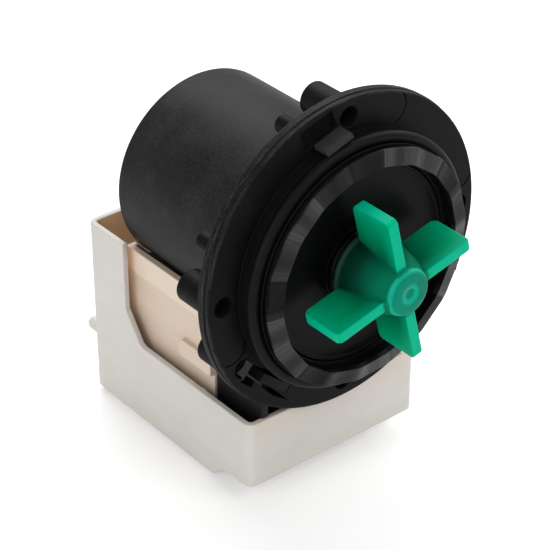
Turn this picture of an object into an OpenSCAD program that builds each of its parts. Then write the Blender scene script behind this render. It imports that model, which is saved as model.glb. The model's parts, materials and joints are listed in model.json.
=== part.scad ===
// Drain pump with an open impeller, a bayonet flange and a separate synchronous motor.
// The pump axis lies along Y with the impeller towards -Y; the origin is the axis at the sealing face.

/* [Pump head] */
// Outer diameter of the mounting flange
flange_d = 96; // [95.5:0.5:102]
// Thickness of the mounting flange
flange_t = 4; // [3.5:0.25:5]
// Diameter of the drum that enters the pump chamber
drum_d = 71; // [70:0.25:71.5]
// Reach of the drum in front of the sealing face
drum_reach = 11; // [10.5:0.25:13]
// Number of flats round the front of the drum
drum_flats = 18; // [16:1:24]
// Thickness of the sealing ring
seal_d = 3.5; // [3.2:0.1:3.6]
// Pitch circle of the screw holes
hole_pitch_d = 84.6; // [84.4:0.1:85.4]
// Diameter of the screw holes
screw_d = 6; // [5:0.25:6]
// Length of the screw bosses behind the flange
boss_len = 10.5; // [7:0.5:14]
// Length of the bayonet lugs in front of the flange
lug_len = 5.7; // [4:0.1:6.5]

/* [Impeller] */
// Diameter over the blades
impeller_d = 48.4; // [44:0.4:54]
// Number of blades
blade_count = 4; // [3:1:6]
// Thickness of a blade
blade_t = 3.3; // [2.6:0.1:4]
// Length of a blade along the axis
blade_len = 14.3; // [12:0.1:16]
// Angle of the first blade above the horizontal
blade_turn = 13.7; // [0:0.1:30]
// Diameter of the hub nose
nose_d = 13.9; // [12.5:0.1:15]

/* [Motor] */
// Outer diameter of the motor shroud
shroud_d = 60; // [59:0.5:61]
// Length of the motor shroud behind the flange
shroud_len = 62; // [62:0.5:68]
// Wall of the motor shroud
shroud_wall = 2; // [1.6:0.1:2.2]
// Diameter of the shaft
shaft_d = 4; // [3.5:0.1:4.5]
// Diameter of the rotor magnet
magnet_d = 25.4; // [23:0.2:26]
// Length of the rotor magnet
magnet_len = 26; // [22:0.5:28]
// Thickness of the laminated core along the axis
stack_t = 21; // [18:0.5:21.5]
// Width of one leg of the core
leg_w = 11; // [9.5:0.25:11.5]
// Radial build of a winding
winding_t = 5; // [3.5:0.25:5.1]

/* [Coil housing] */
// Width of the coil housing
housing_w = 54; // [53.6:0.2:55]
// Length of the coil housing along the axis
housing_len = 41; // [40.5:0.5:44]
// Depth of the coil housing below the axis
housing_low = 67.2; // [66.8:0.2:68]
// Wall of the coil housing
housing_wall = 1.6; // [1.3:0.1:1.7]
// Distance between the two terminals
terminal_gap = 12; // [10:0.5:14]

/* [Stator cover] */
// Width of the stator cover
cover_w = 63.2; // [62.8:0.2:68]
// Length of the stator cover along the axis
cover_len = 76.8; // [76.4:0.2:82]
// Wall of the stator cover
cover_wall = 1.9; // [1.6:0.1:2.1]
// Height of the axis above the underside
axis_h = 75; // [75:0.2:78]
// Height of the front and side walls above the underside
low_wall_h = 28.4; // [24:0.2:29]
// Height of the rear walls above the underside
high_wall_h = 60.4; // [54:0.2:62]

/* [Hidden] */
$fn = 72;

// Clearances that every fit uses
run_gap = 0.04;
slip_gap = 0.1;
seat_gap = 0.2;
free_gap = 0.3;
over = 0.5;

// Pump head
flange_r = flange_d / 2;
drum_r = drum_d / 2;
rim_step = 0.35;
rim_y = 0.4 * flange_t;
seal_seat_r = drum_r - 0.6;
seal_out_r = seal_seat_r + run_gap + seal_d;
shoulder_r = seal_out_r - 1;
shoulder_len = 3.2;
seal_y = shoulder_len + slip_gap + seal_d / 2;
lip_y = shoulder_len + 2 * slip_gap + seal_d;
lip_t = 0.5;
band_depth = 1.6;
band_drop = 1;
band_out_r = drum_r + 0.1;
band_in_r = drum_r - 4.7;
strip_half = 2;
facet_turn = 4;
lines_y = lip_y + lip_t;
lines_len = drum_reach - band_depth - lines_y;
recess_depth = 4.6;
plate_r = 29.7;
plate_front = drum_reach - recess_depth - 0.2;
web_front = plate_front - 3.2;
web_t = web_front;
core_in_r = max(plate_r + seat_gap, shroud_d / 2) + 1.4;
core_out_r = core_in_r + 1.5;
core_front = drum_reach - 3.5;
rib_count = 12;
rib_t = 1.4;

// Screw bosses, lugs and latch
hole_r = screw_d / 2;
hole_pitch_r = hole_pitch_d / 2;
boss_r = 4.8;
hole_angles = [0, 90, 180, 270];
latch_hole_angle = 212;
pin_angles = [64, 108, 160, 288, 340];
pin_r = 2.8;
pin_len = 7.6;
lug_angles = [108, 348];
latch_angle = 228;
lug_in = seal_out_r + 0.15;
lug_t = 1.6;
lug_w = 9.2;
lug_pocket = 1.2;
latch_in = lug_in + 0.5;
rim_w = flange_r - lug_in;
latch_out = lug_in + 0.365 * rim_w;
latch_slit = lug_in + 0.42 * rim_w;
latch_slit_end = lug_in + 0.575 * rim_w;
pocket_w = 0.625 * rim_w;

// Motor shroud and rotor can
shroud_r = shroud_d / 2;
shroud_in_r = shroud_r - shroud_wall;
shroud_end = flange_t + shroud_len;
ring_len = 5;
ring_t = 2;
ring_r = shroud_in_r - seat_gap;
air_gap = 0.8;
can_r = magnet_d / 2 + air_gap;
can_wall = 1.5;
can_out_r = can_r + can_wall;
can_end = shroud_end - shroud_wall - over;
can_floor = can_end - can_wall;

// Bearings on the shaft
shaft_r = shaft_d / 2;
bush_r = shaft_r + 2.2;
mount_r = bush_r + 3;
socket_r = mount_r + slip_gap;
socket_wall = 1.5;
front_bush_y = 0.5;
front_bush_len = 7;
rear_bush_len = 4.8;
rear_bush_y = can_floor - rear_bush_len - seat_gap;

// Rotor
washer_t = 0.8;
washer_r = shaft_r + 3.4;
sleeve_start = front_bush_y + front_bush_len + washer_t + 0.9;
sleeve_end = rear_bush_y - washer_t - 2 * slip_gap;
magnet_end = sleeve_end - 1;
magnet_start = magnet_end - magnet_len;
magnet_bore_r = shaft_r + 4.2;
shaft_end = can_floor - 0.4;

// Impeller and its one-way play on the dog
impeller_r = impeller_d / 2;
nose_r = nose_d / 2;
hub_r = 11.2;
collar_r = 12.4;
boss_front = plate_front + 1.5;
collar_y = boss_front + over;
collar_t = 2;
hub_y = collar_y + collar_t;
blade_y = hub_y + slip_gap;
blade_end = blade_y + blade_len;
nose_y = blade_end + 1.8;
nose_round = 1.4;
chamber_r = 8.6;
chamber_len = 8.8;
chamber_end = hub_y + chamber_len;
dog_r = 8;
dog_hub_r = shaft_r + 2.6;
dog_half = 26;
key_half = 24;
bumper_half = 34;
key_in = dog_hub_r + 1.3;
shaft_front = chamber_end + 2.8;

// Laminated core and coils
pole_bore_r = can_out_r + seat_gap;
pole_r = shroud_in_r - 1.4;
pole_gap = 5;
stack_set = 39.5;
stack_mid = flange_t + stack_set;
stack_y0 = stack_mid - stack_t / 2;
stack_y1 = stack_mid + stack_t / 2;
pole_foot = 4;
pole_cap = 6;
slot_gap = 1.5;
coil_gap = 0.7;
coil_between = 2.6;
bobbin_wall = 1;
bobbin_top = shroud_r + 1.5;
housing_floor = housing_low - housing_wall;
yoke_h = 11;
yoke_top = housing_floor - slip_gap - yoke_h;
bobbin_low = yoke_top - slip_gap;
bobbin_flange = 1.2;
bobbin_in_x = leg_w / 2 + slip_gap;
bobbin_in_y = stack_t / 2 + slip_gap;
wind_in_x = bobbin_in_x + bobbin_wall + slip_gap;
wind_in_y = bobbin_in_y + bobbin_wall + slip_gap;
coil_half_x = (housing_w / 2 - housing_wall - coil_gap - coil_between / 2) / 2;
coil_half_y = wind_in_y + winding_t;
coil_round = min(winding_t, coil_half_x - wind_in_x);
leg_x = coil_between / 2 + coil_half_x;
housing_y0 = stack_mid - coil_half_y - seat_gap - housing_wall;
housing_y1 = housing_y0 + housing_len;

// Coil housing and socket
housing_r = housing_w / 2;
housing_top = 17.9;
strip_low = 25.5;
strip_t = 0.6;
catch_t = 1.6;
catch_len = 15;
catch_top = 36.5;
catch_low = 42.5;
socket_w = terminal_gap + 14;
socket_h = 15;
socket_z = 42;
socket_len = 10.5;
socket_t = 1.5;
blade_tab_w = 6.3;
blade_tab_t = 0.8;
blade_tab_out = 8.5;

// Bracket behind the flange
bracket_gap = 0.4;
bracket_end = housing_y0 - bracket_gap;
bracket_r = housing_r - 0.5;
bracket_t = 2.4;
bracket_low = housing_low - 5;
bracket_top = 17.6;

// Stator cover
cover_x = cover_w / 2;
cover_y0 = flange_t - 0.6;
cover_y1 = cover_y0 + cover_len;
cover_z = -axis_h;
step_h = 6.4;
step_y0 = cover_y0 + 11.8;
step_y1 = step_y0 + 7.8;
low_top = cover_z + low_wall_h;
high_top = cover_z + high_wall_h;
high_y = cover_y1 - 18.2;
knee_z = -37;
knee_run = 6.6;
cover_round = 3;
bracket_foot_y = cover_y0 + cover_wall + free_gap;
heel = 2.2;
window_gap = 1.5;
peg_r = 2.1;
peg_len = 5.6;
peg_x = 3.2;
peg_z = 20.7;

// A revolved form about the pump axis, drawn as radius and distance along Y
module turned() {
    rotate([-90, 0, 0]) rotate_extrude($fn = 96) children();
}

// An upright outline in X and Z, extruded from y0 to y1
module across(y0, y1) {
    translate([0, y1, 0]) rotate([90, 0, 0]) linear_extrude(y1 - y0) children();
}

// A side outline in Y and Z, extruded between x0 and x1
module sideways(x0, x1) {
    translate([x0, 0, 0]) rotate([90, 0, 90]) linear_extrude(x1 - x0) children();
}

// Turns +X to an angle above the horizontal, seen from the impeller's side
module at_angle(a) {
    rotate([0, -a, 0]) children();
}

// A round bar or hole along Y
module bar(r, y0, y1) {
    translate([0, y1, 0]) rotate([90, 0, 0]) cylinder(r = r, h = y1 - y0);
}

module ring(r_out, r_in, y0, y1) {
    difference() {
        bar(r_out, y0, y1);
        bar(r_in, y0 - over, y1 + over);
    }
}

// A rectangle with round corners, between two corners
module round_rect(a, b, r) {
    translate([a[0] + r, a[1]]) square([b[0] - a[0] - 2 * r, b[1] - a[1]]);
    translate([a[0], a[1] + r]) square([b[0] - a[0], b[1] - a[1] - 2 * r]);
    for (x = [a[0] + r, b[0] - r], y = [a[1] + r, b[1] - r]) translate([x, y]) circle(r);
}

// Outline of the facets: a long side and a short one in turn
module facet_outline(r) {
    step = 360 / drum_flats;
    polygon([for (i = [0 : drum_flats - 1], s = [-strip_half, strip_half])
        r * [cos(facet_turn + i * step + s), sin(facet_turn + i * step + s)]]);
}

// Section of the head: drum, seal groove, flange, shroud spigot and the closed rotor can
module head_section() {
    polygon([
        [can_r, -web_front],
        [plate_r + seat_gap, -web_front],
        [plate_r + seat_gap, band_depth - drum_reach],
        [drum_r - 0.2, band_depth - drum_reach],
        [drum_r - 0.2, -lines_y - 0.65 * lines_len],
        [drum_r - 0.5, -lines_y - 0.65 * lines_len],
        [drum_r - 0.5, -lines_y - 0.35 * lines_len],
        [drum_r - 1.2, -lines_y - 0.35 * lines_len],
        [drum_r - 1.2, -lines_y],
        [drum_r + 0.1, -lines_y],
        [drum_r + 0.1, -lip_y],
        [seal_seat_r, -lip_y],
        [seal_seat_r, -shoulder_len],
        [shoulder_r, -shoulder_len],
        [shoulder_r, 0],
        [flange_r - rim_step, 0],
        [flange_r - rim_step, rim_y],
        [flange_r, rim_y],
        [flange_r, flange_t],
        [ring_r, flange_t],
        [ring_r, flange_t + ring_len],
        [ring_r - ring_t, flange_t + ring_len],
        [ring_r - ring_t, 0],
        [can_out_r, 0],
        [can_out_r, can_end],
        [0, can_end],
        [0, can_floor],
        [socket_r, can_floor],
        [socket_r, rear_bush_y - slip_gap],
        [socket_r + socket_wall, rear_bush_y - slip_gap],
        [socket_r + socket_wall, can_floor],
        [can_r, can_floor]
    ]);
}

// Planes one facet: it slopes back from the recess to the outer edge
module facet_cut(turn, half_angle) {
    flat_out = band_out_r * cos(half_angle);
    flat_in = band_in_r * cos(half_angle);
    half = band_out_r * sin(half_angle) + over;
    at_angle(turn)
        translate([flat_in, -drum_reach, 0]) rotate([0, 0, atan(band_drop / (flat_out - flat_in))])
            translate([-over, -band_depth - over, -half])
                cube([flat_out - flat_in + 4, band_depth + over, 2 * half]);
}

// Faceted front ring of the drum, with a wide facet and a narrow one in turn
module facet_band() {
    step = 360 / drum_flats;
    difference() {
        across(-drum_reach, band_depth - drum_reach) facet_outline(band_out_r);
        across(-drum_reach - over, over) facet_outline(band_in_r);
        for (i = [0 : drum_flats - 1]) {
            facet_cut(facet_turn + i * step, strip_half);
            facet_cut(facet_turn + (i + 0.5) * step, step / 2 - strip_half);
        }
    }
}

module coring() {
    difference() {
        ring(core_out_r, core_in_r, -core_front, flange_t + over);
        for (i = [0 : rib_count - 1])
            at_angle((i + 0.5) * 360 / rib_count)
                translate([core_in_r - over, -core_front - over, -rib_t / 2])
                    cube([core_out_r - core_in_r + 2 * over, drum_reach + flange_t + over, rib_t]);
    }
}

module lug() {
    translate([lug_in, -lug_len, -lug_w - seat_gap]) cube([lug_t, lug_len + over, lug_w]);
}

module lug_pocket() {
    translate([lug_in + lug_t, -over, -lug_w + 0.6]) cube([5.5, lug_pocket + over, lug_w + 2]);
}

// Springy latch: an arm between two slits, free towards the pocket beside the extra hole
module latch_cuts() {
    translate([lug_in, -over, -9.8]) cube([pocket_w, flange_t + 2 * over, 5]);
    translate([lug_in - 0.3, -over, -5]) cube([0.8, flange_t + 2 * over, 10.3]);
    translate([0, flange_t + over, 0]) rotate([90, 0, 0]) linear_extrude(flange_t + 2 * over)
        polygon([[latch_out, -5], [latch_slit, -5], [latch_slit_end, 5],
            [latch_slit_end - 0.6, 11.6], [latch_out + 0.4, 4]]);
}

module latch_arm() {
    translate([latch_in, 0, 0]) rotate([0, 90, 0]) linear_extrude(latch_out - latch_in)
        polygon([[4.8, -1.4], [4.8, over], [-9, over], [-9, -0.1], [-3, -1.1]]);
}

module pump_head() {
    color([0.17, 0.17, 0.17]) difference() {
        union() {
            turned() head_section();
            facet_band();
            for (a = hole_angles) at_angle(a)
                translate([hole_pitch_r, 0, 0]) bar(boss_r, flange_t / 2, flange_t + boss_len);
            at_angle(latch_hole_angle)
                translate([hole_pitch_r, 0, 0]) bar(boss_r, flange_t / 2, flange_t + boss_len);
            for (a = pin_angles) at_angle(a)
                translate([hole_pitch_r, 0, 0]) bar(pin_r, flange_t / 2, flange_t + pin_len);
            for (a = lug_angles) at_angle(a) lug();
            at_angle(latch_angle) latch_arm();
        }
        across(-drum_reach - over, -plate_front) facet_outline(band_in_r);
        coring();
        for (a = concat(hole_angles, [latch_hole_angle])) at_angle(a)
            translate([hole_pitch_r, 0, 0]) bar(hole_r, -over, flange_t + boss_len + over);
        for (a = lug_angles) at_angle(a) lug_pocket();
        at_angle(latch_angle) latch_cuts();
    }
}

module seal_ring() {
    color([0.1, 0.1, 0.1]) turned()
        translate([seal_out_r - seal_d / 2, -seal_y]) circle(seal_d / 2, $fn = 32);
}

// Dished plate that closes the rotor can and carries the front bush
module bearing_plate() {
    color([0.13, 0.13, 0.14]) turned() polygon([
        [shaft_r + 1.2, -boss_front],
        [hub_r - 0.4, -boss_front],
        [hub_r + 0.4, 0.8 - boss_front],
        [hub_r + 0.4, 0.9 - plate_front],
        [hub_r + 3, 0.8 - plate_front],
        [plate_r - 4, 0.25 - plate_front],
        [plate_r - 1.2, 0.25 - plate_front],
        [plate_r - 0.8, -plate_front],
        [plate_r, -plate_front],
        [plate_r, -web_front],
        [socket_r + socket_wall, -web_front],
        [socket_r + socket_wall, front_bush_y + front_bush_len + slip_gap],
        [socket_r, front_bush_y + front_bush_len + slip_gap],
        [socket_r, -web_front + 1],
        [shaft_r + 1.2, -web_front + 1]
    ]);
}

// Rubber seat of a bush, with a lip at each end
module bush_mount(y0, len) {
    color([0.12, 0.12, 0.12]) turned() polygon([
        [bush_r + slip_gap / 2, y0],
        [mount_r, y0],
        [mount_r, y0 + 0.3 * len],
        [mount_r - 0.5, y0 + 0.4 * len],
        [mount_r - 0.5, y0 + 0.6 * len],
        [mount_r, y0 + 0.7 * len],
        [mount_r, y0 + len],
        [bush_r + slip_gap / 2, y0 + len]
    ]);
}

module bush(y0, len) {
    color([0.45, 0.42, 0.38]) ring(bush_r, shaft_r + run_gap, y0, y0 + len);
}

module front_bush_mount() { bush_mount(front_bush_y, front_bush_len); }
module front_bush() { bush(front_bush_y, front_bush_len); }
module rear_bush_mount() { bush_mount(rear_bush_y, rear_bush_len); }
module rear_bush() { bush(rear_bush_y, rear_bush_len); }

// Plain drum with a rounded closed rear and a slot underneath for the legs of the core
module motor_shroud() {
    edge = 1.6;
    color([0.18, 0.18, 0.18]) difference() {
        turned() {
            translate([shroud_in_r, flange_t]) square([shroud_wall, shroud_len - edge]);
            translate([0, shroud_end - shroud_wall]) square([shroud_r - edge, shroud_wall]);
            translate([shroud_in_r - over, shroud_end - shroud_wall])
                square([shroud_wall + over - edge, shroud_wall]);
            translate([shroud_r - edge, shroud_end - edge]) circle(edge, $fn = 48);
        }
        translate([-leg_x - leg_w / 2 - slot_gap, stack_y0 - slot_gap, -shroud_r - over])
            cube([2 * (leg_x + leg_w / 2 + slot_gap), stack_t + 2 * slot_gap, shroud_r - over]);
    }
}

// Open bracket that hangs the coil housing from the back of the flange
module stator_bracket() {
    color([0.16, 0.16, 0.16]) difference() {
        translate([-bracket_r, flange_t, -bracket_low])
            cube([2 * bracket_r, bracket_end - flange_t, bracket_low - bracket_top]);
        translate([bracket_t - bracket_r, flange_t - over, -bracket_low - over])
            cube([2 * (bracket_r - bracket_t), bracket_end - flange_t - bracket_t + over, bracket_low]);
        translate([-bracket_r - over, flange_t - over, -bracket_low - over])
            cube([2 * (bracket_r + over), bracket_foot_y - flange_t + over,
                bracket_low + low_top + free_gap + over]);
        bar(shroud_r + free_gap, flange_t - over, bracket_end + over);
    }
}

// Two-pole laminated core: round pole faces above, straight legs below
module stator_poles() {
    color([0.55, 0.56, 0.58]) across(stack_y0, stack_y1) difference() {
        union() {
            intersection() {
                circle(pole_r, $fn = 96);
                translate([-pole_r, pole_foot - pole_r])
                    square([2 * pole_r, 2 * pole_r - pole_foot - pole_cap]);
            }
            for (s = [-1, 1]) translate([s * leg_x - leg_w / 2, -yoke_top])
                square([leg_w, yoke_top - pole_bore_r + pole_foot - 1]);
        }
        circle(pole_bore_r, $fn = 96);
        translate([-pole_gap / 2, -pole_r - 1]) square([pole_gap, 2 * pole_r + 2]);
    }
}

module core_yoke() {
    color([0.55, 0.56, 0.58]) across(stack_y0, stack_y1)
        round_rect([-leg_x - leg_w / 2, -yoke_top - yoke_h], [leg_x + leg_w / 2, -yoke_top], 1.2);
}

// Bobbin tube and its two flanges, round the leg at the given X
module bobbin(x) {
    in_x = bobbin_in_x;
    in_y = bobbin_in_y;
    out_x = coil_half_x;
    out_y = coil_half_y;
    color([0.85, 0.8, 0.7]) translate([x, stack_mid, -bobbin_low]) difference() {
        union() {
            linear_extrude(bobbin_low - bobbin_top)
                square([2 * (in_x + bobbin_wall), 2 * (in_y + bobbin_wall)], center = true);
            for (z = [0, bobbin_low - bobbin_top - bobbin_flange]) translate([0, 0, z])
                linear_extrude(bobbin_flange)
                    round_rect([-out_x, -out_y], [out_x, out_y], coil_round);
        }
        translate([-in_x, -in_y, -over]) cube([2 * in_x, 2 * in_y, bobbin_low]);
    }
}

module winding(x) {
    out_x = coil_half_x - slip_gap;
    out_y = coil_half_y - slip_gap;
    low = bobbin_low - bobbin_flange - slip_gap;
    high = bobbin_top + bobbin_flange + slip_gap;
    color([0.72, 0.38, 0.2]) translate([x, stack_mid, -low]) linear_extrude(low - high) difference() {
        round_rect([-out_x, -out_y], [out_x, out_y], coil_round - slip_gap);
        square([2 * wind_in_x, 2 * wind_in_y], center = true);
    }
}

module bobbin_left() { bobbin(-leg_x); }
module bobbin_right() { bobbin(leg_x); }
module winding_left() { winding(-leg_x); }
module winding_right() { winding(leg_x); }

// Box round the coils, hollow under the shroud, with a plug socket at the rear
module coil_housing() {
    color([0.86, 0.8, 0.72]) difference() {
        union() {
            translate([-housing_r, housing_y0, -housing_low])
                cube([housing_w, housing_len, housing_low - housing_top]);
            translate([-housing_r - strip_t, housing_y0, -strip_low])
                cube([housing_w + 2 * strip_t, housing_len, strip_low - housing_top]);
            sideways(-housing_r - catch_t, housing_r + catch_t) polygon([
                [housing_y0, -catch_low],
                [housing_y0 + catch_len, -catch_low],
                [housing_y0 + catch_len, -catch_top - 1.6],
                [housing_y0 + catch_len - 1.6, -catch_top],
                [housing_y0, -catch_top]
            ]);
            translate([-socket_w / 2, housing_y1 - over, -socket_z - socket_h / 2])
                cube([socket_w, socket_len + over, socket_h]);
        }
        translate([housing_wall - housing_r, housing_y0 + housing_wall, -housing_floor])
            cube([housing_w - 2 * housing_wall, housing_len - 2 * housing_wall - 0.4, housing_low]);
        bar(shroud_r + free_gap, housing_y0 - over, housing_y1 + over);
        translate([socket_t - socket_w / 2, housing_y1, -socket_z - socket_h / 2 + socket_t])
            cube([socket_w - 2 * socket_t, socket_len + over, socket_h - 2 * socket_t]);
        for (s = [-1, 1]) translate([s * terminal_gap / 2, 0, -socket_z])
            translate([-blade_tab_t / 2 - slip_gap, housing_y1 - 5, -blade_tab_w / 2 - slip_gap])
                cube([blade_tab_t + 2 * slip_gap, 6, blade_tab_w + 2 * slip_gap]);
    }
}

// Flat spade terminal with a pointed tip
module terminal(x) {
    tip = housing_y1 + blade_tab_out;
    root = housing_y1 - housing_wall - 2.6;
    half = blade_tab_w / 2;
    color([0.8, 0.78, 0.7]) sideways(x - blade_tab_t / 2, x + blade_tab_t / 2) polygon([
        [root, -socket_z - half],
        [tip - 1.5, -socket_z - half],
        [tip, -socket_z - half + 1.2],
        [tip, -socket_z + half - 1.2],
        [tip - 1.5, -socket_z + half],
        [root, -socket_z + half]
    ]);
}

module terminal_left() { terminal(-terminal_gap / 2); }
module terminal_right() { terminal(terminal_gap / 2); }

module thermal_cutout() {
    y0 = stack_mid + coil_half_y + slip_gap;
    color([0.2, 0.2, 0.22]) translate([leg_x - 2, y0, -socket_z - 8])
        cube([8, min(3, housing_y1 - housing_wall - 0.5 - y0), 12]);
}

// Side outline of the cover, moved inwards by the wall
module cover_side(t) {
    polygon([
        [cover_y0 + t, cover_z + step_h + t],
        [step_y0 + 0.4 * t, cover_z + step_h + t],
        [step_y1 + 0.4 * t, cover_z + t],
        [cover_y1 - heel - 0.6 * t, cover_z + t],
        [cover_y1 - t, cover_z + heel + 0.6 * t],
        [cover_y1 - t, high_top],
        [high_y, high_top],
        [high_y, knee_z],
        [high_y - knee_run, low_top + 0.6],
        [high_y - knee_run - 1.4, low_top],
        [cover_y0 + t, low_top]
    ]);
}

module cover_body(t, round, top) {
    intersection() {
        translate([0, 0, cover_z - over]) linear_extrude(axis_h + over)
            round_rect([t - cover_x, cover_y0 + t], [cover_x - t, cover_y1 - t], round);
        sideways(-cover_x - 1, cover_x + 1) union() {
            cover_side(t);
            if (top > 0) translate([cover_y0 + t, low_top - 1])
                square([cover_len - 2 * t, axis_h]);
        }
        across(cover_y0 - 1, cover_y1 + 1) round_rect([t - cover_x, cover_z + t], [cover_x - t, 30], round);
    }
}

// Open tray with tall rear walls, ribs under and beside the coil housing and a window for the plug
module stator_cover() {
    in_x = cover_x - cover_wall;
    floor_z = cover_z + cover_wall;
    color([0.87, 0.86, 0.83]) {
        difference() {
            cover_body(0, cover_round, 0);
            cover_body(cover_wall, cover_round - cover_wall, 1);
            bar(flange_r + free_gap, cover_y0 - 1, flange_t + free_gap);
            translate([0, 0, -hole_pitch_r])
                bar(boss_r + free_gap, cover_y0 - 1, flange_t + boss_len + free_gap);
            translate([0, cover_y1 - cover_wall / 2, -socket_z])
                cube([socket_w + 2 * window_gap, cover_wall + 2, socket_h + 2 * window_gap], center = true);
        }
        for (y = [housing_y0 + 5, housing_y0 + housing_len / 2, housing_y1 - 5])
            translate([-in_x + 6, y - 1, floor_z - over])
                cube([2 * in_x - 12, 2, -housing_low - free_gap - floor_z + over]);
        for (s = [-1, 1], y = [housing_y0 + 3, housing_y1 - 6])
            translate([s > 0 ? housing_r + free_gap : -in_x - over, y, floor_z - over])
                cube([in_x + over - housing_r - free_gap, 2, -catch_low - 6 - floor_z]);
        translate([peg_x - cover_x, cover_y1 - over, cover_z + peg_z]) bar(peg_r, 0, peg_len - peg_r + over);
        translate([peg_x - cover_x, cover_y1 + peg_len - peg_r, cover_z + peg_z]) sphere(peg_r, $fn = 32);
    }
}

module rotor_shaft() {
    color([0.75, 0.76, 0.78]) bar(shaft_r, -shaft_front, shaft_end);
}

// Moulded carrier that holds the magnet between two flanges
module rotor_sleeve() {
    bore = shaft_r + run_gap / 2;
    color([0.9, 0.9, 0.88]) turned() polygon([
        [bore, sleeve_start],
        [shaft_r + 2, sleeve_start],
        [shaft_r + 2, magnet_start - 3],
        [magnet_bore_r, magnet_start - 1.4],
        [magnet_d / 2 - 1.7, magnet_start - 1.4],
        [magnet_d / 2 - 1.7, magnet_start],
        [magnet_bore_r, magnet_start],
        [magnet_bore_r, magnet_end],
        [magnet_d / 2 - 4, magnet_end],
        [magnet_d / 2 - 4, sleeve_end],
        [bore, sleeve_end]
    ]);
}

module rotor_magnet() {
    color([0.28, 0.28, 0.3]) ring(magnet_d / 2, magnet_bore_r + run_gap / 2, magnet_start, magnet_end);
}

module washer(y0) {
    color([0.9, 0.9, 0.85]) ring(washer_r, shaft_r + run_gap, y0, y0 + washer_t);
}

module front_washer() { washer(sleeve_start - washer_t - slip_gap); }
module rear_washer() { washer(sleeve_end + slip_gap); }

// A slice of a ring, centred on an angle
module sector(r_out, r_in, half, y0, y1) {
    reach = 2 * r_out;
    intersection() {
        ring(r_out, r_in, y0, y1);
        across(y0 - over, y1 + over)
            polygon([[0, 0], [reach * cos(half), -reach * sin(half)], [reach, 0],
                [reach * cos(half), reach * sin(half)]]);
    }
}

// Driver fixed to the shaft: it turns freely inside the hub until it meets the bumper
module drive_dog() {
    color([0.92, 0.9, 0.82]) difference() {
        union() {
            bar(dog_hub_r, -chamber_end + 0.4, -boss_front - 0.3);
            at_angle(blade_turn + 45)
                sector(dog_r, dog_hub_r - 1, dog_half, -chamber_end + 0.4, -hub_y - 0.4);
        }
        bar(shaft_r + run_gap / 2, -chamber_end - 1, 0);
    }
}

// One flat blade with rounded outer corners
module impeller_blade() {
    corner = 1.6;
    translate([0, 0, -blade_t / 2]) linear_extrude(blade_t) union() {
        translate([nose_r - 1, -blade_end]) square([impeller_r - corner - nose_r + 1, blade_len]);
        translate([impeller_r - 2 * corner, -blade_end + corner])
            square([2 * corner, blade_len - 2 * corner]);
        for (y = [-blade_end + corner, -blade_y - corner])
            translate([impeller_r - corner, y]) circle(corner, $fn = 32);
    }
}

module hub_section() {
    polygon([
        [0, -nose_y + 0.5],
        [1.6, -nose_y + 0.5],
        [2.2, -nose_y],
        [nose_r - nose_round, -nose_y],
        [nose_r - 0.29 * nose_round, -nose_y + 0.29 * nose_round],
        [nose_r, -nose_y + nose_round],
        [nose_r + 0.4, -blade_end + 1],
        [0.5 * (nose_r + hub_r), -blade_end + 0.35 * blade_len],
        [hub_r - 0.8, -blade_end + 0.75 * blade_len],
        [hub_r, -hub_y],
        [0, -hub_y]
    ]);
}

// Open impeller: flat blades on a tapered hub that hides the dog chamber
module impeller() {
    color([0, 0.62, 0.44]) union() {
        difference() {
            union() {
                turned() hub_section();
                for (i = [0 : blade_count - 1])
                    at_angle(blade_turn + i * 360 / blade_count) impeller_blade();
            }
            bar(chamber_r, -chamber_end, 0);
            bar(shaft_r + run_gap + 0.02, -shaft_front - 0.4, 0);
        }
        at_angle(blade_turn + 225) sector(chamber_r + 0.2, key_in, key_half, -chamber_end - 0.1, -hub_y);
    }
}

module hub_collar() {
    color([0, 0.42, 0.3]) turned() difference() {
        translate([dog_hub_r + 0.6, -hub_y]) square([collar_r - dog_hub_r - 0.6, collar_t]);
        translate([collar_r - 0.5, -collar_y - 0.5]) rotate(45) translate([0, -2]) square([2, 4]);
    }
}

// Rubber shoes on both sides of the key, joined by a web inside it
module hub_bumper() {
    color([0.15, 0.15, 0.15]) at_angle(blade_turn + 225) difference() {
        sector(chamber_r - 0.2, dog_hub_r + over, bumper_half, -chamber_end + slip_gap, -hub_y - slip_gap);
        sector(chamber_r + 2, key_in - slip_gap, key_half + over, -chamber_end - 1, -hub_y + 1);
    }
}

pump_head();
seal_ring();
bearing_plate();
front_bush_mount();
front_bush();
rear_bush_mount();
rear_bush();
motor_shroud();
stator_bracket();
stator_poles();
core_yoke();
bobbin_left();
bobbin_right();
winding_left();
winding_right();
coil_housing();
thermal_cutout();
terminal_left();
terminal_right();
stator_cover();
rotor_shaft();
rotor_sleeve();
rotor_magnet();
front_washer();
rear_washer();
drive_dog();
impeller();
hub_collar();
hub_bumper();
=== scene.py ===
import json
from math import cos, pi, radians, sin

import bmesh
import bpy
from mathutils import Matrix, Vector


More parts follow.
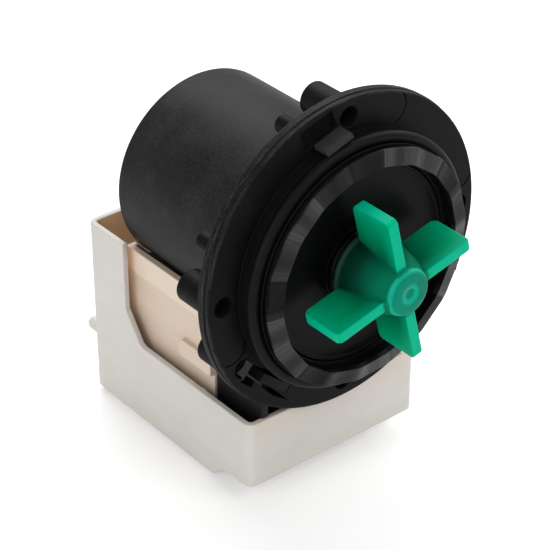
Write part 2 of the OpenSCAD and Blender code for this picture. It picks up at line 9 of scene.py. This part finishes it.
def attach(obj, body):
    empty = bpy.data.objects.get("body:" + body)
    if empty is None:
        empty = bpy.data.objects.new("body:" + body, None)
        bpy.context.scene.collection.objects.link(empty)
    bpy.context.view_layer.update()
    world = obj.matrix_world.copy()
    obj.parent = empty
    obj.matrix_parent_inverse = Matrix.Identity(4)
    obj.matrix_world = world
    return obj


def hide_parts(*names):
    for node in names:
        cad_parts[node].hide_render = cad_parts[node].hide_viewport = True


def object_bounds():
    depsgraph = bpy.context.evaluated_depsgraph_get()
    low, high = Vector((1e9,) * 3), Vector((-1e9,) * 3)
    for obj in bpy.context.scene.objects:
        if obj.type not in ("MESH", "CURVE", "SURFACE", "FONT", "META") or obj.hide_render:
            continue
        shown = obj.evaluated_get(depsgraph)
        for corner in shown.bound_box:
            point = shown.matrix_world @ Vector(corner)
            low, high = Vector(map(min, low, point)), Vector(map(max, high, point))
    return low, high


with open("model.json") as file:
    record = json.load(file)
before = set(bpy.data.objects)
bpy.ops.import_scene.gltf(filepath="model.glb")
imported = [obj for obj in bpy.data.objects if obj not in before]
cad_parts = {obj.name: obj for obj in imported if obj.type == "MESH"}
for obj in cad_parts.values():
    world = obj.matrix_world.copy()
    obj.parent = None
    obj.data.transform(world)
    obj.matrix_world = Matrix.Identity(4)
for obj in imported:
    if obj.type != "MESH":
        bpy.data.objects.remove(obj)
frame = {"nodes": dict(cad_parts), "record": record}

cad_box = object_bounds()
cad = frame["nodes"]
MM = 0.001

# The camera stands to the pump's front left and above it, with a long lens. It looks down at the pump,
# which stands on its grey tray.
camera = bpy.data.objects.new("camera", bpy.data.cameras.new("camera"))
bpy.context.collection.objects.link(camera)
camera_right = Vector((0.7756, -0.6312, 0.0)).normalized()
camera_up = Vector((0.3397, 0.4174, 0.8426)).normalized()
camera_back = camera_right.cross(camera_up)
camera.matrix_world = Matrix((camera_right, camera_up, camera_back)).transposed().to_4x4()
camera.location = Vector((-308.4, -348.23, 289.96)) * MM
camera.data.sensor_width = 36
camera.data.lens = 130.909
bpy.context.scene.camera = camera
bpy.context.scene.view_settings.view_transform = "Standard"


# The floor is a plain white sheet at the tray's underside, which keeps the pump's soft shadow. To the
# camera it turns whiter farther off, and gloss mirrors only a share of that.
class Sock:
    """One output of a shader node. Sums on it add Math nodes, and node() adds any other kind."""

    def __init__(self, tree, out=None):
        self.tree = tree
        self.out = out

    def node(self, kind, settings=None, values=None, out=0):
        made = self.tree.nodes.new(kind)
        for key, value in (settings or {}).items():
            setattr(made, key, value)
        for key, value in (values or {}).items():
            if isinstance(value, Sock):
                self.tree.links.new(value.out, made.inputs[key])
            else:
                made.inputs[key].default_value = value
        return Sock(self.tree, made.outputs[out])

    def math(self, operation, *values):
        return self.node("ShaderNodeMath", {"operation": operation}, dict(enumerate((self, *values))))

    def __add__(self, other):
        return self.math("ADD", other)

    def __radd__(self, other):
        return self.math("ADD", other)

    def __mul__(self, other):
        return self.math("MULTIPLY", other)

    def __rmul__(self, other):
        return self.math("MULTIPLY", other)

    def __sub__(self, other):
        return self.math("SUBTRACT", other)

    def __rsub__(self, other):
        return (self * -1) + other

    def __truediv__(self, other):
        return self.math("DIVIDE", other)

    def __pow__(self, other):
        return self.math("POWER", other)

    def band(self, low, high):
        """0 below low, 1 above high, and smooth between"""
        return self.node("ShaderNodeMapRange", {"interpolation_type": "SMOOTHSTEP"},
                         {0: self, 1: low, 2: high})

    def tint(self, low, high):
        """The colour low where this is 0 and high where it is 1"""
        return self.node("ShaderNodeMix", {"data_type": "RGBA"},
                         {0: self, 6: low if isinstance(low, Sock) else (*low, 1),
                          7: high if isinstance(high, Sock) else (*high, 1)}, out=2)

    def noise(self, size, detail=2.0, stretch=(1, 1, 1), rough=0.5):
        """Noise in the object's own space, with spots of about this size in millimetres"""
        place = self.node("ShaderNodeTexCoord", out="Object")
        place = self.node("ShaderNodeVectorMath", {"operation": "MULTIPLY"},
                          {0: place, 1: tuple(1 / (size * MM * s) for s in stretch)})
        return self.node("ShaderNodeTexNoise", {},
                         {"Vector": place, "Scale": 1.0, "Detail": detail, "Roughness": rough})

    def pattern(self, x, y, z, detail=2.0):
        """Noise over three given distances, with spots about 1 across"""
        place = self.node("ShaderNodeCombineXYZ", {}, {0: x, 1: y, 2: z})
        return self.node("ShaderNodeTexNoise", {}, {"Vector": place, "Scale": 1.0, "Detail": detail})

    def place(self):
        """X, Y and Z in millimetres, the distance from the pump's axis and the angle round it"""
        place = self.node("ShaderNodeTexCoord", out="Object")
        split = self.tree.nodes.new("ShaderNodeSeparateXYZ")
        self.tree.links.new(place.out, split.inputs[0])
        x, y, z = (Sock(self.tree, out) * 1000 for out in split.outputs)
        return x, y, z, (x * x + z * z) ** 0.5, z.math("ARCTAN2", x)


def plain_finish(name, colour, rough, specular=0.5):
    """A new material, its shader with its plain values, and the start of its other nodes"""
    material = bpy.data.materials.new(name)
    material.use_nodes = True
    shader = material.node_tree.nodes["Principled BSDF"]
    shader.inputs["Base Color"].default_value = (*colour, 1)
    shader.inputs["Roughness"].default_value = rough
    shader.inputs["Specular IOR Level"].default_value = specular
    return material, shader, Sock(material.node_tree)


floor_half = 3
near_glow = 0.27
mirrored_floor = 0.3
floor_mesh = bmesh.new()
bmesh.ops.create_grid(floor_mesh, x_segments=1, y_segments=1, size=floor_half)
bmesh.ops.translate(floor_mesh, verts=floor_mesh.verts, vec=(0, 0, cad_box[0][2]))
floor = bpy.data.objects.new("floor", bpy.data.meshes.new("floor"))
floor_mesh.to_mesh(floor.data)
floor_mesh.free()
bpy.context.collection.objects.link(floor)
paper, shader, start = plain_finish("white_paper", (0.9, 0.9, 0.9), 0.9, 0.0)
ray = start.node("ShaderNodeLightPath", out="Is Camera Ray").math(
    "MAXIMUM", start.node("ShaderNodeLightPath", out="Is Glossy Ray") * mirrored_floor)
x, y, z, out, turn = start.place()
far = ((x * x + y * y) ** 0.5).band(250, 1100)
glow = start.node("ShaderNodeEmission", {}, {
    "Color": (1, 1, 1, 1), "Strength": ray * (far * (1 - near_glow) + near_glow)})
lit = start.node("ShaderNodeAddShader", {}, {0: Sock(paper.node_tree, shader.outputs[0]), 1: glow})
paper.node_tree.links.new(lit.out, paper.node_tree.nodes["Material Output"].inputs["Surface"])
floor.data.materials.append(paper)

# Plain studio light: the main soft box stands high behind the pump, and weaker ones stand at its right,
# its left and in front, in a dim white room that looks white to the camera.
room_level = 0.38
mirrored_room = 0.12
room = bpy.data.worlds.new("room")
room.use_nodes = True
bpy.context.scene.world = room
air = Sock(room.node_tree)
seen = air.node("ShaderNodeLightPath", out="Is Camera Ray").math(
    "MAXIMUM", air.node("ShaderNodeLightPath", out="Is Transmission Ray"))
seen = seen.math("MAXIMUM", air.node("ShaderNodeLightPath", out="Is Glossy Ray") * mirrored_room)
room_light = room.node_tree.nodes["Background"]
room.node_tree.links.new((seen * (1 - room_level) + room_level).out, room_light.inputs["Strength"])
room_light.inputs["Color"].default_value = (1, 1, 1, 1)
for name, where, size, power in (("rear", (0.38, 0.78, 0.92), 0.9, 11.0),
                                 ("right", (1.0, 0.2, 0.6), 0.8, 5.0),
                                 ("left", (-1.05, -0.3, 0.42), 1.0, 5.3),
                                 ("front", (0.3, -1.0, 0.9), 0.9, 6.0)):
    lamp = bpy.data.objects.new(name, bpy.data.lights.new(name, "AREA"))
    lamp.data.size = size
    lamp.data.energy = power
    lamp.location = where
    lamp.rotation_euler = Vector(where).to_track_quat("Z", "Y").to_euler()
    bpy.context.collection.objects.link(lamp)


# The rotor is a ground steel shaft with fine marks round it, a moulded carrier on it and a ferrite tube
# on the carrier. It turns in two bushes, between two thrust washers, and the dog fixed to its front
# drives the impeller.
def put(shader, height, **links):
    """Links what changes over the surface. The height is in millimetres."""
    for key, value in links.items():
        shader.id_data.links.new(value.out, shader.inputs[key.replace("_", " ").title()])
    bump = height.node("ShaderNodeBump", {}, {"Height": height, "Distance": MM, "Strength": 1.0})
    shader.id_data.links.new(bump.out, shader.inputs["Normal"])


def dress(material, *names):
    """Gives this material to the CAD pieces that stay as they are"""
    for name in names:
        for slot in cad[name].material_slots:
            slot.material = material


def shades(colour, low, high):
    """A darker and a lighter shade of a colour"""
    return [low * c for c in colour], [high * c for c in colour]


steel_grey = (0.6, 0.6, 0.62)
steel, shader, start = plain_finish("shaft_steel", steel_grey, 0.28)
shader.inputs["Metallic"].default_value = 1.0
x, y, z, out, turn = start.place()
marks = start.pattern(x * 0.3, y * 9, z * 0.3, 4)
put(shader, marks * 0.003, base_color=marks.tint(*shades(steel_grey, 0.85, 1.1)),
    roughness=marks * 0.2 + 0.18)
dress(steel, "rotor_shaft")

acetal_white = (0.8, 0.79, 0.76)
acetal, shader, start = plain_finish("sleeve_plastic", acetal_white, 0.42, 0.4)
cloud, grain = start.noise(6, 3), start.noise(0.25)
put(shader, grain * 0.008, base_color=cloud.tint(*shades(acetal_white, 0.92, 1.03)),
    roughness=grain * 0.15 + 0.35)
dress(acetal, "rotor_sleeve", "front_washer", "rear_washer", "drive_dog")

ferrite, shader, start = plain_finish("magnet_ferrite", (0.06, 0.06, 0.065), 0.55, 0.4)
x, y, z, out, turn = start.place()
ground = start.pattern(x * 0.25, y * 5, z * 0.25, 4)
pits = start.noise(0.35, 4, rough=0.7).band(0.62, 0.72)
put(shader, ground * 0.006 - pits * 0.02,
    base_color=(ground * 0.5 + pits * 0.6).tint((0.075, 0.075, 0.08), (0.03, 0.03, 0.033)),
    roughness=ground * 0.2 + 0.42)
dress(ferrite, "rotor_magnet")

# Each bush is a ground ceramic sleeve in a moulded rubber seat. The front seat is pressed into a socket
# of the bearing plate, and the rear one into the closed end of the rotor's can.
ceramic_white = (0.6, 0.58, 0.55)
bush, shader, start = plain_finish("bush_ceramic", ceramic_white, 0.35)
cloud, grain = start.noise(2.5, 3), start.noise(0.15)
put(shader, grain * 0.003, base_color=cloud.tint(*shades(ceramic_white, 0.88, 1.06)),
    roughness=grain * 0.15 + 0.28)
dress(bush, "front_bush", "rear_bush")


def rubber(name, colour, rough, specular=0.3):
    """Moulded rubber: faint cloudy bloom, fine rings round the axis and a fine skin"""
    material, shader, start = plain_finish(name, colour, rough, specular)
    x, y, z, out, turn = start.place()
    bloom, skin = start.noise(7, 4), start.noise(0.2)
    rings = start.pattern(x * 0.05, y * 2.5, out * 2.5, 3)
    put(shader, skin * 0.004 + rings * 0.02,
        base_color=(bloom * 0.5 + rings * 0.5).tint(*shades(colour, 0.6, 1.7)),
        roughness=bloom * 0.14 + skin * 0.06 + (rough - 0.1))
    return material


dress(rubber("mount_rubber", (0.012, 0.012, 0.012), 0.55), "front_bush_mount", "rear_bush_mount")


# The head is one black moulding: the drum with its ring of sloped flats, the groove for the seal, the
# flange with its screw bosses, lugs and latch, and the closed can round the rotor. Its rim carries
# fine scratches along it and a lighter grain, which is a painted highlight. Its flats carry the
# cutter's lines and a painted sheen: each flat has its own brightness and is lighter towards its
# sides. The lugs and bosses in front are painted lighter, in part as wear and in part as a painted
# highlight. Its front carries three ejector marks: shallow grooves painted black as shade, drawn only
# on the side where light grazes them.
def rounded(node, width, segments=2, skip=None, ridge=None, soft=None):
    """A copy of a CAD piece with its sharp edges rounded, which stands for it. skip tells which edges
    aren't rounded, ridge which other edges look sharp, and soft which ones look smooth."""
    shape = bmesh.new()
    shape.from_mesh(cad[node].data)
    bmesh.ops.remove_doubles(shape, verts=shape.verts, dist=2e-6)
    bmesh.ops.dissolve_limit(shape, angle_limit=radians(0.3), verts=shape.verts, edges=shape.edges)
    weight = shape.edges.layers.float.new("bevel_weight_edge")
    for face in shape.faces:
        face.smooth = True
    for edge in shape.edges:
        sharp = edge.calc_face_angle(0) > radians(28)
        middle = (edge.verts[0].co + edge.verts[1].co) / (2 * MM)
        creased = sharp or bool(ridge and ridge(edge, middle))
        edge.smooth = not creased or bool(soft and soft(edge, middle))
        edge[weight] = 1.0 if sharp and not (skip and skip(edge, middle)) else 0.0
    piece = bpy.data.objects.new(node + "_moulded", bpy.data.meshes.new(node + "_moulded"))
    shape.to_mesh(piece.data)
    shape.free()
    bpy.context.collection.objects.link(piece)
    edges = piece.modifiers.new("edges", "BEVEL")
    edges.width = width * MM
    edges.segments = segments
    edges.limit_method = "WEIGHT"
    edges.use_clamp_overlap = False
    edges.harden_normals = True
    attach(piece, next(b for b, names in frame["record"]["behaviour"]["bodies"].items() if node in names))
    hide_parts(node)
    return piece


def black_plastic(name, colour, rough, specular, grain=0.45):
    """Black moulded plastic with a fine grain, cloudy sheen and a little pale dust"""
    material, shader, start = plain_finish(name, colour, rough, specular)
    cloud, fine = start.noise(11, 4), start.noise(grain, 3, rough=0.6)
    dust = start.noise(0.5, 3, rough=0.7).band(0.66, 0.78) * cloud.band(0.4, 0.7)
    shade = (cloud.band(0.3, 0.75) * 0.5 + fine.band(0.38, 0.62) * 0.5).tint(*shades(colour, 0.45, 1.6))
    return material, shader, start, cloud, fine, dust, shade


flange_r = 48
flange_t = 4
shoulder_r = 37.44
flats_in_r = 30.3
flats_out_r = 35.62
flats_rear = -9.4
flats_count = 18
mark_ring_r = 42.8
mark_r = 5

head, shader, start, cloud, fine, dust, shade = black_plastic(
    "head_black", (0.005, 0.0048, 0.0048), 0.5, 0.08, 0.55)
x, y, z, out, turn = start.place()
rim = out.band(flange_r - 1.2, flange_r - 0.4)
scratch = start.pattern(x * 0.12, y * 3.2, z * 0.12, 5).band(0.45, 0.7) * rim
flats = out.band(flats_in_r, flats_in_r + 0.2) - out.band(flats_out_r, flats_out_r + 0.04)
flats = flats * (1 - y.band(flats_rear + 0.1, flats_rear + 0.2))
flat = turn * (flats_count / (2 * pi)) - 0.2
along = flat.math("FRACT") - 0.5
hollow = (along * along).math("MINIMUM", 0.16) * 2.6
lines = start.pattern(x / out * 75, z / out * 75, out * 0.1, 3)
tool = start.pattern(x * 0.05, z * 0.05, out * 2.2, 3)
# Painted sheen: each flat gets its own brightness in the base colour, set by its number. The same pattern
# sets the clear coat's weight.
sheen = ((flat.math("FLOOR") * 1.7 + 2.1).math("COSINE") * 0.6 + 0.62) * lines

marks = None
# Each ejector mark is a shallow groove painted black, drawn only on the side of its ring where light
# grazes it: painted shade.
for angle, lean in ((69, 0.3), (14, 0.3), (199.7, 0.9)):
    side = x - mark_ring_r * cos(radians(angle))
    up = z - mark_ring_r * sin(radians(angle))
    far = (side * side + up * up) ** 0.5
    circle = far.band(mark_r - 0.4, mark_r - 0.15) - far.band(mark_r + 0.1, mark_r + 0.35)
    shaded_mark_groove = circle * ((side * 0.9 - up * lean) / far).band(0.25, 0.75)
    marks = shaded_mark_groove if marks is None else marks.math("MAXIMUM", shaded_mark_groove)
marks = marks * y.band(-0.5, -0.2) * (1 - y.band(0.2, 0.5))

# The lugs and bosses in front of the flange's upper half are painted lighter with a grainy tone: in part
# wear, in part a painted highlight.
lugs = out.band(shoulder_r + 0.06, shoulder_r + 0.26) * (1 - y.band(-0.6, -0.3)) * z.band(-25, -20)
walls = y.band(0.1, 0.4) * (1 - y.band(flange_t - 0.4, flange_t - 0.1)) * (1 - rim) * out.band(36, 37)
# The rim's scratches are wear. Its lighter grain is a painted highlight.
dust_wear_and_painted_light = dust * 0.35 + scratch * 0.6 + rim * fine.band(0.42, 0.7) * 0.35 + lugs * (fine * 0.8 + 0.3)
# The flats are painted lighter towards their sides: painted sheen.
dust_wear_and_painted_light = dust_wear_and_painted_light + flats * sheen * (along.math("ABSOLUTE").band(0.05, 0.42) * 1.3 + 0.2)
skin = dust_wear_and_painted_light.math("MINIMUM", 1.0).tint(shade, (0.045, 0.044, 0.043))
put(shader, fine * 0.05 + flats * (hollow + lines * 0.05) - marks * 0.35 + scratch * 0.02 + tool * 0.02,
    base_color=marks.tint(skin, (0.0, 0.0, 0.0)),
    roughness=cloud * 0.14 + fine * 0.08 + 0.4 - flats * 0.1 + marks * 0.5 + walls * 0.5,
    coat_weight=flats * (sheen * 0.6))
shader.inputs["Coat Roughness"].default_value = 0.22


def behind_flats(edge, middle):
    return abs(middle.y - flats_rear) < 0.05 and middle.xz.length > 34


def between_flats(edge, middle):
    sloped = all(-0.995 < face.normal.y < -0.9 for face in edge.link_faces)
    return edge.calc_face_angle(0) > radians(0.8) and sloped


piece = rounded("pump_head", 0.22, skip=behind_flats, ridge=between_flats)
piece.data.materials.append(head)

# The bearing plate is a smooth black disc, dished and moulded in one with the front bush's socket. It is
# pressed into the drum's recess, over the rotor.
plate, shader, start, cloud, fine, dust, shade = black_plastic(
    "plate_black", (0.002, 0.0022, 0.0022), 0.34, 0.07)
x, y, z, out, turn = start.place()
rings = start.pattern(x * 0.04, z * 0.04, out * 1.6, 3)
put(shader, fine * 0.004 + rings * 0.012, base_color=dust.tint(shade, (0.02, 0.02, 0.02)),
    roughness=cloud * 0.12 + rings * 0.1 + 0.26)
piece = rounded("bearing_plate", 0.35, segments=3)
piece.data.materials.append(plate)

# The seal is a round ring of soft black rubber. It is stretched into the groove behind the drum's lip
# and seals the pump in its chamber.
dress(rubber("seal_rubber", (0.004, 0.004, 0.004), 0.45, 0.09), "seal_ring")

# The impeller is moulded in clear green plastic with its hub, over a darker collar. Its colour carries
# painted light: the blades' thin edges and outer parts are painted brighter, as light comes through
# them, their flats darker towards the hub, the hub in painted shade that deepens towards the plate, and
# the nose with painted highlights at its rim and round its dimple. Rubber shoes inside the hub soften
# the dog's stop.
blade_count = 4
blade_turn = 13.7
blade_t = 3.3
blade_r = 24.2
blade_front = -24.6
hub_r = 11.2
hub_rear = -10.2
cone_slope = 0.2656
cone_r_at_flange = 13.91
nose_r = 6.95
nose_front = -26.4
dimple_r = 3

green, shader, start = plain_finish("impeller_green", (0, 0.27, 0.14), 0.32, 0.04)
shader.inputs["Subsurface Weight"].default_value = 0.25
shader.inputs["Subsurface Radius"].default_value = (0.05, 1.0, 0.7)
shader.inputs["Subsurface Scale"].default_value = 1.6 * MM
x, y, z, out, turn = start.place()
quarter = ((turn - radians(blade_turn)) * (blade_count / (2 * pi)) + 4.5).math("FRACT") - 0.5
across = ((quarter * (2 * pi / blade_count)).math("SINE") * out).math("ABSOLUTE")
clear = (out - y * cone_slope - cone_r_at_flange).band(0.1, 1.6)
blade = (1 - across.band(blade_t / 2 + 0.05, blade_t / 2 + 0.65)) * clear
border = (y - blade_front).math("MINIMUM", blade_r - out)
# The thin faces and the blades' outer parts are painted brighter, as if light came through the clear
# plastic: painted light.
thin = (1 - border.band(0.25, 0.5)) * blade
glow = (1 - border.band(0.3, 5.0)) * blade
nose = (1 - out.band(nose_r - 0.05, nose_r + 0.35)) * (1 - y.band(nose_front + 1.2, nose_front + 2.2))
flow = start.pattern(x * 0.12, y * 0.25, z * 0.12, 3)
# The hub is painted in shade, darkest towards the plate and lighter towards the nose.
painted_light_towards_nose = (y * -1).band(11, 25)
hub = (painted_light_towards_nose * 0.8 + flow * 0.2).tint((0.0, 0.009, 0.005), (0.0, 0.2, 0.105))
# The blades' flats are painted darker towards the hub: painted shade.
flat = (out.band(7, 22) * 0.75 + flow * 0.25).tint((0.0, 0.078, 0.029), (0.0, 0.35, 0.158))
# Lighter rings at the nose's rim and round its dimple: painted highlights.
ring = (out.band(1.2, 1.9) - out.band(2.0, 3.6)) * 0.7 + out.band(nose_r - 0.95, nose_r + 0.05)
shade = blade.tint(hub, (glow * 0.5).tint(flat, (0.0, 0.45, 0.24)))
shade = thin.tint(shade, (0.0, 0.46, 0.27))
shade = nose.tint(shade, (ring * 0.65 + flow * 0.5).tint((0.0, 0.13, 0.072), (0.01, 0.5, 0.34)))
smear = start.noise(1.2, 3)
put(shader, smear * 0.006, base_color=shade,
    roughness=smear * 0.16 + 0.24 + (1 - blade) * (1 - nose) * 0.35)


def in_dimple(edge, middle):
    return middle.xz.length < dimple_r


def at_hub_rear(edge, middle):
    beside_collar = middle.y > hub_rear - 1.3 and middle.xz.length < hub_r + 0.8
    return middle.y > hub_rear - 0.2 or beside_collar or in_dimple(edge, middle)


piece = rounded("impeller", 0.42, segments=3, skip=at_hub_rear, soft=in_dimple)
piece.data.materials.append(green)

collar_r = 12.4
collar, shader, start = plain_finish("collar_green", (0.0, 0.05, 0.03), 0.36, 0.15)
x, y, z, out, turn = start.place()
cloud = start.noise(3, 3)
# The collar is painted lighter towards its outer rim: a painted highlight.
put(shader, cloud * 0.01,
    base_color=(out.band(9, collar_r) * 0.7 + cloud * 0.3).tint((0.0, 0.012, 0.008), (0.02, 0.06, 0.05)),
    roughness=cloud * 0.15 + 0.28)
piece = rounded("hub_collar", 0.3)
piece.data.materials.append(collar)
dress(rubber("bumper_rubber", (0.016, 0.016, 0.016), 0.6), "hub_bumper")

# The core is stacked from half-millimetre steel sheets: two legs with the pole faces beside the rotor,
# and a bar that joins them below. The coils are enamelled copper wire, wound on moulded bobbins round
# the legs.
sheet_t = 0.5
core_grey = (0.42, 0.42, 0.43)
core, shader, start = plain_finish("core_steel", core_grey, 0.45)
shader.inputs["Metallic"].default_value = 0.9
x, y, z, out, turn = start.place()
sheets = (y * (2 * pi / sheet_t)).math("COSINE") * 0.5 + 0.5
stain = start.noise(5, 4)
put(shader, sheets * 0.05, base_color=(stain * 0.6 + sheets * 0.3).tint(*shades(core_grey, 0.55, 1.1)),
    roughness=stain * 0.25 + 0.34)
dress(core, "stator_poles", "core_yoke")

wire_t = 0.32
wire, shader, start = plain_finish("winding_wire", (0.45, 0.15, 0.06), 0.32)
shader.inputs["Metallic"].default_value = 0.7
x, y, z, out, turn = start.place()
# The wire is painted darker in the narrow valleys between its turns: painted shade.
turns = ((z * (2 * pi / wire_t)).math("COSINE") * 0.5 + 0.5) ** 0.5
lay = start.pattern(x * 0.08, y * 0.08, z * 3, 2)
put(shader, turns * 0.09,
    base_color=(turns * 0.6 + lay * 0.4).tint((0.16, 0.04, 0.015), (0.55, 0.2, 0.08)),
    roughness=lay * 0.2 + 0.22)
dress(wire, "winding_left", "winding_right")


def pale_plastic(name, colour, rough, warm=None, where=None):
    """Pale moulded plastic with a fine grain and faint flow marks, and warmer where where() is 1"""
    material, shader, start = plain_finish(name, colour, rough, 0.3)
    cloud, fine = start.noise(20, 3), start.noise(0.3, 3, rough=0.6)
    x, y, z, out, turn = start.place()
    flow = start.pattern(x * 0.05, y * 0.05, z * 0.25, 4)
    specks = start.noise(0.7, 3, rough=0.7).band(0.7, 0.78) * 0.12
    shade = ((cloud * 0.5 + flow * 0.5).band(0.3, 0.7) - specks).tint(*shades(colour, 0.955, 1.02))
    if where:
        shade = where(x, y, z).tint(shade, warm)
    put(shader, fine * 0.007 + flow * 0.01, base_color=shade,
        roughness=cloud * 0.12 + fine * 0.08 + (rough - 0.1))
    return material


dress(pale_plastic("bobbin_plastic", (0.72, 0.66, 0.55), 0.5), "bobbin_left", "bobbin_right")

# The shroud is a plain black drum over the motor, closed at the rear, with a satin moulded skin. It
# slides over a ring behind the flange, and the core's legs pass through a slot underneath.
shroud, shader, start, cloud, fine, dust, shade = black_plastic(
    "shroud_black", (0.018, 0.018, 0.0184), 0.5, 0.1, 0.6)
put(shader, fine * 0.05, base_color=(dust * 0.25).tint(shade, (0.04, 0.04, 0.04)),
    roughness=cloud * 0.14 + fine * 0.12 + 0.38)
piece = rounded("motor_shroud", 0.3)
piece.data.materials.append(shroud)

# The bracket is a plain black box without a floor, moulded in one. It hangs the coil box from the back
# of the flange.
bracket, shader, start, cloud, fine, dust, shade = black_plastic(
    "bracket_black", (0.0055, 0.0052, 0.0052), 0.55, 0.2)
put(shader, fine * 0.01, base_color=(dust * 0.3).tint(shade, (0.03, 0.03, 0.03)),
    roughness=cloud * 0.14 + fine * 0.08 + 0.42)
piece = rounded("stator_bracket", 0.3)
piece.data.materials.append(bracket)

# The coil box is beige plastic, moulded in one with the plug's socket and a raised strip along the top
# of each side, whose outer face is painted a little lighter and warmer. Its terminals are tinned brass
# tabs, and a small sealed cut-out lies on one coil.
housing_side = 27
strip_foot = -25.5


def on_strip(x, y, z):
    beside = x.math("ABSOLUTE").band(housing_side + 0.3, housing_side + 0.5)
    return beside * z.band(strip_foot - 0.2, strip_foot + 0.2)


def at_strip_foot(edge, middle):
    return abs(middle.z - strip_foot) < 0.1


housing = pale_plastic("housing_beige", (0.71, 0.585, 0.47), 0.5, warm=(0.78, 0.66, 0.54), where=on_strip)
piece = rounded("coil_housing", 0.35, skip=at_strip_foot)
piece.data.materials.append(housing)

tin_grey = (0.6, 0.58, 0.52)
tin, shader, start = plain_finish("terminal_metal", tin_grey, 0.3)
shader.inputs["Metallic"].default_value = 1.0
rub = start.noise(1.2, 4, stretch=(1, 6, 1))
put(shader, rub * 0.006, base_color=rub.tint(*shades(tin_grey, 0.8, 1.12)), roughness=rub * 0.25 + 0.2)
dress(tin, "terminal_left", "terminal_right")

case, shader, start, cloud, fine, dust, shade = black_plastic(
    "cutout_case", (0.03, 0.03, 0.033), 0.45, 0.4)
put(shader, fine * 0.008, base_color=shade, roughness=cloud * 0.15 + 0.35)
dress(case, "thermal_cutout")

# The cover is a pale grey tray with a low front and tall rear walls, open above, with a window for
# the plug and a small peg at its rear left. It is thin moulded plastic with softly rounded rims. Its
# inside is painted warmer towards the top, beside the beige box: painted light bounced off the box.
cover_side = 31.6
cover_rear = 80.2
cover_wall = 1.9
peg_x = -28.4
peg_z = -54.3
peg_foot_r = 3


# Light bounced off the beige box is painted into the cover's inside, warmer towards the top.
def bounce_light_inside_cover(x, y, z):
    inner_side = cover_side - cover_wall
    inner_rear = cover_rear - cover_wall
    between = 1 - x.math("ABSOLUTE").band(inner_side + 0.1, inner_side + 0.2)
    return between * (1 - y.band(inner_rear, inner_rear + 0.2)) * z.band(-60, -20)


def at_peg_foot(edge, middle):
    near = (middle.x - peg_x) ** 2 + (middle.z - peg_z) ** 2 < peg_foot_r ** 2
    return near and middle.y > cover_rear - 1.2


cover = pale_plastic("cover_grey", (0.67, 0.64, 0.6), 0.48, warm=(0.8, 0.57, 0.36), where=bounce_light_inside_cover)
piece = rounded("stator_cover", 0.45, segments=3, skip=at_peg_foot)
piece.data.materials.append(cover)
